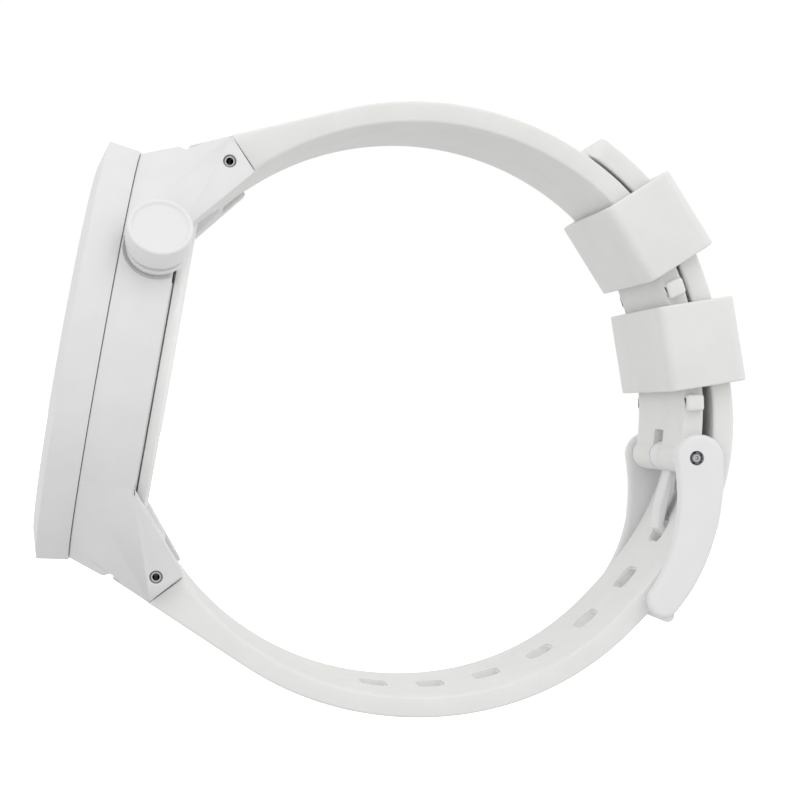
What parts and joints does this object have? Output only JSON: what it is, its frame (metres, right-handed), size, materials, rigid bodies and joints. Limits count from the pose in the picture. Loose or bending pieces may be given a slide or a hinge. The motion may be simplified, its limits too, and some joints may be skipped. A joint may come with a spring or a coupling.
{
  "type": "analogue wristwatch",
  "caption": "Round analogue wristwatch, all white, with a side crown and a silicone strap buckled into a loop through two keepers.",
  "frame": {"origin": "middle of the case back's outer flat face", "axes": "+X towards 3 o'clock, +Y from the dial through the case back towards the wrist, +Z towards 12 o'clock"},
  "size_m": [0.0491, 0.0743, 0.0672],
  "materials": {
    "white_case": "satin",
    "white_fittings": "satin",
    "white_back": "gloss",
    "silicone": "matte",
    "crystal": "polished",
    "steel": "satin",
    "brass": "satin",
    "copper": "satin",
    "seal": "matte",
    "circuit": "matte",
    "dark_plastic": "matte",
    "dial_white": "matte",
    "plate": "satin",
    "natural_plastic": "matte"
  },
  "bodies": {
    "case": {"case_middle": "white_case", "bezel_ring": "white_case", "crystal": "crystal", "crystal_gasket": "natural_plastic", "flange_ring": "dial_white", "dial": "dial_white", "hour_marker_ring": "plate", "case_back": "white_back", "case_back_gasket": "seal", "hatch_gasket": "seal", "crown_tube": "white_fittings", "lug_pin_upper": "steel", "lug_pin_lower": "steel", "upper_strap": "silicone", "lower_strap": "silicone", "buckle_pin": "steel", "movement_holder": "natural_plastic", "main_plate": "plate", "train_bridge": "plate", "movement_screw_1": "steel", "movement_screw_2": "steel", "movement_screw_3": "steel", "battery": "steel", "battery_spring": "brass", "coil": "copper", "stator": "steel", "circuit_board": "circuit", "chip": "dark_plastic", "quartz_can": "steel"},
    "crown_slider": {"crown_gasket": "seal"},
    "crown_head": {"crown": "white_fittings", "stem": "steel", "sliding_pinion": "brass"},
    "setting_lever": {"setting_lever": "steel"},
    "battery_hatch": {"battery_hatch": "white_back"},
    "second_hand": {"second_hand": "plate"},
    "minute_hand": {"minute_hand": "plate"},
    "hour_hand": {"hour_hand": "plate"},
    "third_wheel": {"third_wheel": "brass"},
    "intermediate_wheel": {"intermediate_wheel": "natural_plastic"},
    "rotor": {"rotor": "dark_plastic"},
    "minute_wheel": {"minute_wheel": "brass"},
    "keeper_upper": {"keeper_upper": "silicone"},
    "keeper_lower": {"keeper_lower": "silicone"},
    "buckle_frame": {"buckle_frame": "white_fittings"},
    "buckle_tongue": {"buckle_tongue": "white_fittings"}
  },
  "joints": [
    {"name": "crown_pull", "type": "slide", "parent": "case", "child": "crown_slider", "axis": [0.866, 0, 0.5], "range_m": [0, 0.001]},
    {"name": "crown_turn", "type": "hinge", "parent": "crown_slider", "child": "crown_head", "pos_m": [0.02208, -0.00375, 0.01275], "axis": [0.866, 0, 0.5], "continuous": true},
    {"name": "setting_lever_turn", "type": "hinge", "parent": "case", "child": "setting_lever", "pos_m": [0.00971, -0.004, 0.00838], "axis": [0, 1, 0], "range_deg": [-24, 0]},
    {"name": "battery_hatch_turn", "type": "hinge", "parent": "case", "child": "battery_hatch", "pos_m": [0, -0.004, -0.0096], "axis": [0, 1, 0], "range_deg": [0, 60]},
    {"name": "second_hand_turn", "type": "hinge", "parent": "case", "child": "second_hand", "pos_m": [0, -0.004, 0], "axis": [0, 1, 0], "continuous": true},
    {"name": "minute_hand_turn", "type": "hinge", "parent": "case", "child": "minute_hand", "pos_m": [0, -0.004, 0], "axis": [0, 1, 0], "continuous": true},
    {"name": "hour_hand_turn", "type": "hinge", "parent": "case", "child": "hour_hand", "pos_m": [0, -0.004, 0], "axis": [0, 1, 0], "continuous": true},
    {"name": "third_wheel_turn", "type": "hinge", "parent": "case", "child": "third_wheel", "pos_m": [-0.00526, -0.004, 0.00141], "axis": [0, 1, 0], "continuous": true},
    {"name": "intermediate_wheel_turn", "type": "hinge", "parent": "case", "child": "intermediate_wheel", "pos_m": [0.00126, -0.004, 0.00468], "axis": [0, 1, 0], "continuous": true},
    {"name": "rotor_turn", "type": "hinge", "parent": "case", "child": "rotor", "pos_m": [-0.00054, -0.004, 0.0078], "axis": [0, 1, 0], "continuous": true},
    {"name": "minute_wheel_turn", "type": "hinge", "parent": "case", "child": "minute_wheel", "pos_m": [0.00455, -0.004, 0.00263], "axis": [0, 1, 0], "continuous": true},
    {"name": "keeper_upper_slide", "type": "hinge", "parent": "case", "child": "keeper_upper", "pos_m": [0, 0.027, 0], "axis": [1, 0, 0], "range_deg": [0, 8]},
    {"name": "keeper_lower_slide", "type": "hinge", "parent": "case", "child": "keeper_lower", "pos_m": [0, 0.027, 0], "axis": [1, 0, 0], "range_deg": [0, 0.9]},
    {"name": "buckle_frame_tilt", "type": "hinge", "parent": "case", "child": "buckle_frame", "pos_m": [0, 0.058, 0], "axis": [1, 0, 0], "range_deg": [0, 3]},
    {"name": "buckle_tongue_tilt", "type": "hinge", "parent": "case", "child": "buckle_tongue", "pos_m": [0, 0.058, 0], "axis": [1, 0, 0], "range_deg": [0, 3]}
  ],
  "couplings": [
    {"joint": "setting_lever_turn", "follows": "crown_pull", "rad_per_m": -416.67},
    {"joint": "minute_hand_turn", "follows": "second_hand_turn", "ratio": 0.016667},
    {"joint": "hour_hand_turn", "follows": "second_hand_turn", "ratio": 0.0013889},
    {"joint": "third_wheel_turn", "follows": "second_hand_turn", "ratio": -0.13333},
    {"joint": "minute_wheel_turn", "follows": "second_hand_turn", "ratio": -0.0055556},
    {"joint": "intermediate_wheel_turn", "follows": "second_hand_turn", "ratio": -5},
    {"joint": "rotor_turn", "follows": "second_hand_turn", "ratio": 30},
    {"joint": "buckle_tongue_tilt", "follows": "buckle_frame_tilt", "ratio": 1}
  ]
}
